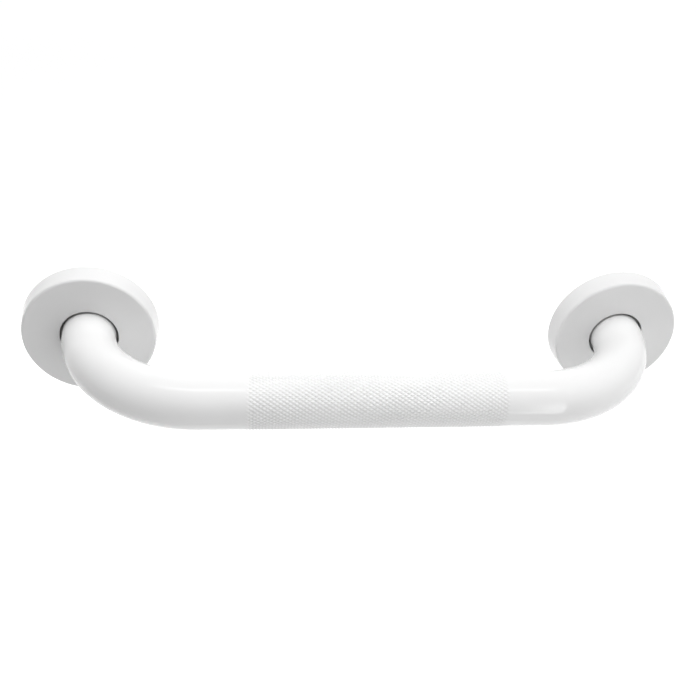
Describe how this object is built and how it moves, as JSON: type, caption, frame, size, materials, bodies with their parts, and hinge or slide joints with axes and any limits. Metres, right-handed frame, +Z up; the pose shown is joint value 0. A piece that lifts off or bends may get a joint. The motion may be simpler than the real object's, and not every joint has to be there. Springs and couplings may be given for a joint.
{
  "type": "grab bar",
  "caption": "Wall grab bar: a bent tube with a knurled grip between screwed wall discs, each hidden by a round slip-on cover.",
  "frame": {"origin": "midway between the two wall discs, on the wall plane", "axes": "+X along the bar, +Y into the wall, +Z up across the bar"},
  "size_m": [0.4138, 0.0933, 0.0818],
  "materials": {
    "tube_coat": "gloss white powder coat on steel tube",
    "cover_coat": "satin white powder coat on pressed steel",
    "flange_coat": "white powder coat, thin towards the edges, on steel plate"
  },
  "bodies": {
    "bar": {"grip_tube": "tube_coat", "left_flange": "flange_coat", "right_flange": "flange_coat", "left_weld": "flange_coat", "right_weld": "flange_coat"},
    "left_cover": {"left_cover": "cover_coat"},
    "right_cover": {"right_cover": "cover_coat"}
  },
  "joints": [
    {"name": "left_cover_slide", "type": "slide", "parent": "bar", "child": "left_cover", "axis": [0, -1, 0], "range_m": [0, 0.007]},
    {"name": "right_cover_slide", "type": "slide", "parent": "bar", "child": "right_cover", "axis": [0, -1, 0], "range_m": [0, 0.007]}
  ]
}
